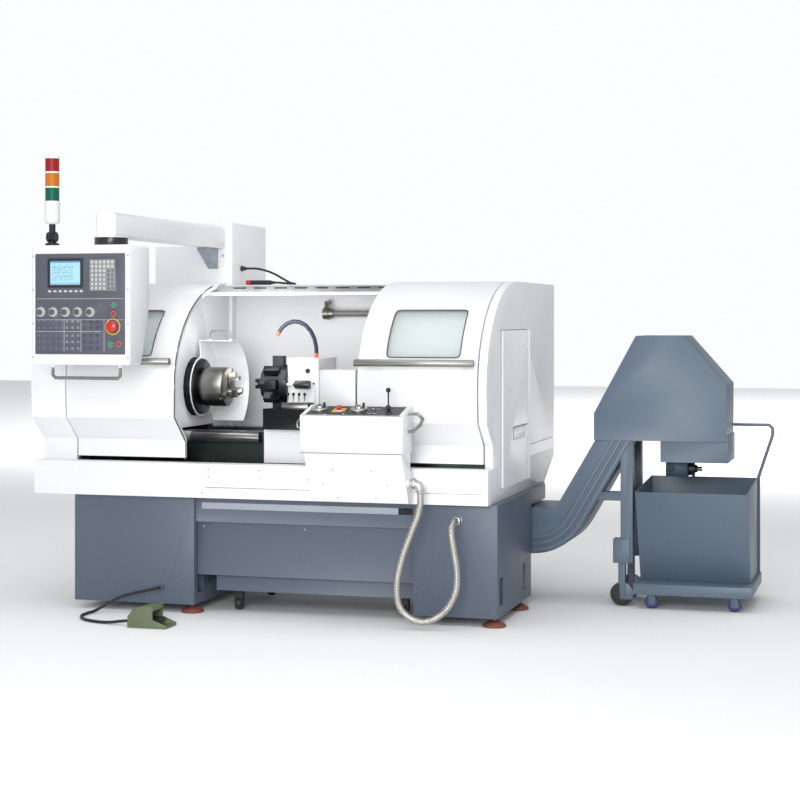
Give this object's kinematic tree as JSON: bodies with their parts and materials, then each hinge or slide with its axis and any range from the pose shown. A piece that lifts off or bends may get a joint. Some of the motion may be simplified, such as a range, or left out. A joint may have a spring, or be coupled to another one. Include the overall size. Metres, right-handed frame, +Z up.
{
  "type": "cnc turning lathe",
  "caption": "Curved-front turning lathe with sliding doors, chuck, tool turret, hand desk, swinging control pendant, chip conveyor, wheeled chip bin and foot switch.",
  "frame": {"origin": "on the floor under the centre of the whole machine's bounding box, conveyor, cart and foot switch included", "axes": "+X from the spindle side to the conveyor side along the spindle axis, +Y from the operator to the rear, +Z up"},
  "size_m": [3.644, 2.0766, 2.3],
  "materials": {
    "machine_white": "textured satin",
    "base_blue_grey": "satin",
    "conveyor_blue_grey": "satin",
    "black_oxide_steel": "black oxide",
    "bed_cast_iron": "ground ways",
    "bright_steel": "turned",
    "brushed_handle": "brushed",
    "rail_aluminium": "extruded",
    "window_glass": "clear",
    "panel_slate": "matte",
    "stop_red": "gloss",
    "black_plastic": "matte",
    "pad_brown": "matte",
    "switch_olive": "hammered",
    "wheel_rubber": "matte",
    "nozzle_plastic": "matte",
    "tower_lenses": "gloss",
    "hose_braid": "braided"
  },
  "bodies": {
    "machine": {"base_frame": "base_blue_grey", "base_front_panel": "base_blue_grey", "coolant_tank": "base_blue_grey", "chip_pan": "machine_white", "left_cover": "machine_white", "right_cover": "machine_white", "door_top_rail": "rail_aluminium", "rear_splash_guard": "machine_white", "electrical_cabinet": "machine_white", "pendant_column": "machine_white", "pendant_arm": "machine_white", "bed": "bed_cast_iron", "headstock": "black_oxide_steel", "level_foot_1": "pad_brown", "level_foot_2": "pad_brown", "level_foot_3": "pad_brown", "level_foot_4": "pad_brown", "conveyor_trough": "conveyor_blue_grey", "conveyor_hood": "conveyor_blue_grey", "conveyor_leg": "conveyor_blue_grey", "foot_switch": "switch_olive", "foot_cord": "black_plastic", "apron_hose": "hose_braid"},
    "left_door": {"left_door": "machine_white", "left_window": "window_glass", "left_handle": "brushed_handle"},
    "right_door": {"right_door": "machine_white", "right_window": "window_glass", "right_handle": "brushed_handle"},
    "access_door": {"side_access_door": "machine_white"},
    "spindle": {"spindle": "bright_steel", "chuck_body": "bright_steel"},
    "jaw_1": {"chuck_jaw_1": "bright_steel"},
    "jaw_2": {"chuck_jaw_2": "bright_steel"},
    "jaw_3": {"chuck_jaw_3": "bright_steel"},
    "chuck_guard": {"chuck_guard": "machine_white"},
    "carriage": {"saddle": "machine_white", "control_desk": "machine_white"},
    "cross_slide": {"cross_slide": "black_oxide_steel", "turret_housing": "machine_white", "coolant_nozzle": "nozzle_plastic"},
    "turret": {"turret_head": "black_oxide_steel"},
    "desk_wheel_left": {"desk_wheel_left": "bright_steel"},
    "desk_wheel_right": {"desk_wheel_right": "bright_steel"},
    "desk_stop": {"desk_stop_button": "stop_red"},
    "jog_lever": {"jog_lever": "black_plastic"},
    "tailstock": {"tailstock": "base_blue_grey"},
    "quill": {"tailstock_quill": "bright_steel"},
    "pendant": {"pendant_box": "machine_white", "pendant_panel": "panel_slate", "tower_light": "tower_lenses"},
    "pendant_stop": {"pendant_stop_button": "stop_red"},
    "drum": {"conveyor_drum": "black_oxide_steel"},
    "cart": {"cart_frame": "conveyor_blue_grey", "chip_bin": "conveyor_blue_grey"},
    "cart_wheel_1": {"cart_wheel_1": "wheel_rubber"},
    "cart_wheel_2": {"cart_wheel_2": "wheel_rubber"},
    "cart_wheel_3": {"cart_wheel_3": "wheel_rubber"},
    "cart_wheel_4": {"cart_wheel_4": "wheel_rubber"},
    "pedal": {"foot_pedal": "black_plastic"}
  },
  "joints": [
    {"name": "left_door_slide", "type": "slide", "parent": "machine", "child": "left_door", "axis": [1, 0, 0], "range_m": [0, 0.47]},
    {"name": "right_door_slide", "type": "slide", "parent": "machine", "child": "right_door", "axis": [1, 0, 0], "range_m": [-0.47, 0]},
    {"name": "access_door_hinge", "type": "hinge", "parent": "machine", "child": "access_door", "pos_m": [0.5903, 0.2863, 1.04], "axis": [0, 0, 1], "range_deg": [0, 75]},
    {"name": "spindle_spin", "type": "hinge", "parent": "machine", "child": "spindle", "pos_m": [-1.132, -0.0037, 1.125], "axis": [1, 0, 0], "continuous": true},
    {"name": "jaw_1_slide", "type": "slide", "parent": "spindle", "child": "jaw_1", "axis": [0, 0, 1], "range_m": [-0.012, 0]},
    {"name": "jaw_2_slide", "type": "slide", "parent": "spindle", "child": "jaw_2", "axis": [0, -0.866, -0.5], "range_m": [-0.012, 0]},
    {"name": "jaw_3_slide", "type": "slide", "parent": "spindle", "child": "jaw_3", "axis": [0, 0.866, -0.5], "range_m": [-0.012, 0]},
    {"name": "guard_hinge", "type": "hinge", "parent": "machine", "child": "chuck_guard", "pos_m": [-1.132, -0.0037, 1.125], "axis": [1, 0, 0], "range_deg": [0, 85]},
    {"name": "carriage_slide", "type": "slide", "parent": "machine", "child": "carriage", "axis": [1, 0, 0], "range_m": [-0.09, 0.33], "deforming": ["apron_hose"]},
    {"name": "cross_slide_feed", "type": "slide", "parent": "carriage", "child": "cross_slide", "axis": [0, 1, 0], "range_m": [-0.045, 0.04]},
    {"name": "turret_index", "type": "hinge", "parent": "cross_slide", "child": "turret", "pos_m": [-0.565, -0.1837, 1.15], "axis": [1, 0, 0], "continuous": true},
    {"name": "desk_wheel_left_turn", "type": "hinge", "parent": "carriage", "child": "desk_wheel_left", "pos_m": [-0.225, -0.73797, 1.04713], "axis": [0, -0.2467, 0.9691], "continuous": true},
    {"name": "desk_wheel_right_turn", "type": "hinge", "parent": "carriage", "child": "desk_wheel_right", "pos_m": [-0.027, -0.73797, 1.04713], "axis": [0, -0.2467, 0.9691], "continuous": true},
    {"name": "desk_stop_press", "type": "slide", "parent": "carriage", "child": "desk_stop", "axis": [0, -0.2467, 0.9691], "range_m": [-0.005, 0], "stiffness_N_per_m": 600, "springref_m": 0.002},
    {"name": "jog_rock", "type": "hinge", "parent": "carriage", "child": "jog_lever", "pos_m": [0.121, -0.74093, 1.05876], "axis": [1, 0, 0], "range_deg": [-12, 12], "stiffness_Nm_per_rad": 2.5},
    {"name": "tailstock_slide", "type": "slide", "parent": "machine", "child": "tailstock", "axis": [1, 0, 0], "range_m": [-0.2, 0]},
    {"name": "quill_slide", "type": "slide", "parent": "tailstock", "child": "quill", "axis": [1, 0, 0], "range_m": [-0.08, 0]},
    {"name": "pendant_swivel", "type": "hinge", "parent": "machine", "child": "pendant", "pos_m": [-1.257, -0.8837, 1.85], "axis": [0, 0, 1], "range_deg": [-10, 80]},
    {"name": "pendant_stop_press", "type": "slide", "parent": "pendant", "child": "pendant_stop", "axis": [0, 1, 0], "range_m": [0, 0.005], "stiffness_N_per_m": 600, "springref_m": -0.002},
    {"name": "drum_turn", "type": "hinge", "parent": "machine", "child": "drum", "pos_m": [1.338, 0.4513, 1.06], "axis": [0, 1, 0], "continuous": true},
    {"name": "cart_roll", "type": "slide", "parent": "machine", "child": "cart", "axis": [1, 0, 0], "range_m": [0, 0.5]},
    {"name": "cart_wheel_1_spin", "type": "hinge", "parent": "cart", "child": "cart_wheel_1", "pos_m": [1.243, 0.2413, 0.035], "axis": [0, 1, 0], "continuous": true},
    {"name": "cart_wheel_2_spin", "type": "hinge", "parent": "cart", "child": "cart_wheel_2", "pos_m": [1.243, 0.7713, 0.035], "axis": [0, 1, 0], "continuous": true},
    {"name": "cart_wheel_3_spin", "type": "hinge", "parent": "cart", "child": "cart_wheel_3", "pos_m": [1.663, 0.2413, 0.035], "axis": [0, 1, 0], "continuous": true},
    {"name": "cart_wheel_4_spin", "type": "hinge", "parent": "cart", "child": "cart_wheel_4", "pos_m": [1.663, 0.7713, 0.035], "axis": [0, 1, 0], "continuous": true},
    {"name": "pedal_press", "type": "hinge", "parent": "machine", "child": "pedal", "pos_m": [-1.077, -0.9587, 0.038], "axis": [0, 1, 0], "range_deg": [0, 8], "stiffness_Nm_per_rad": 3, "springref_deg": -11.46}
  ],
  "couplings": [
    {"joint": "jaw_2_slide", "follows": "jaw_1_slide", "ratio": 1},
    {"joint": "jaw_3_slide", "follows": "jaw_1_slide", "ratio": 1}
  ]
}
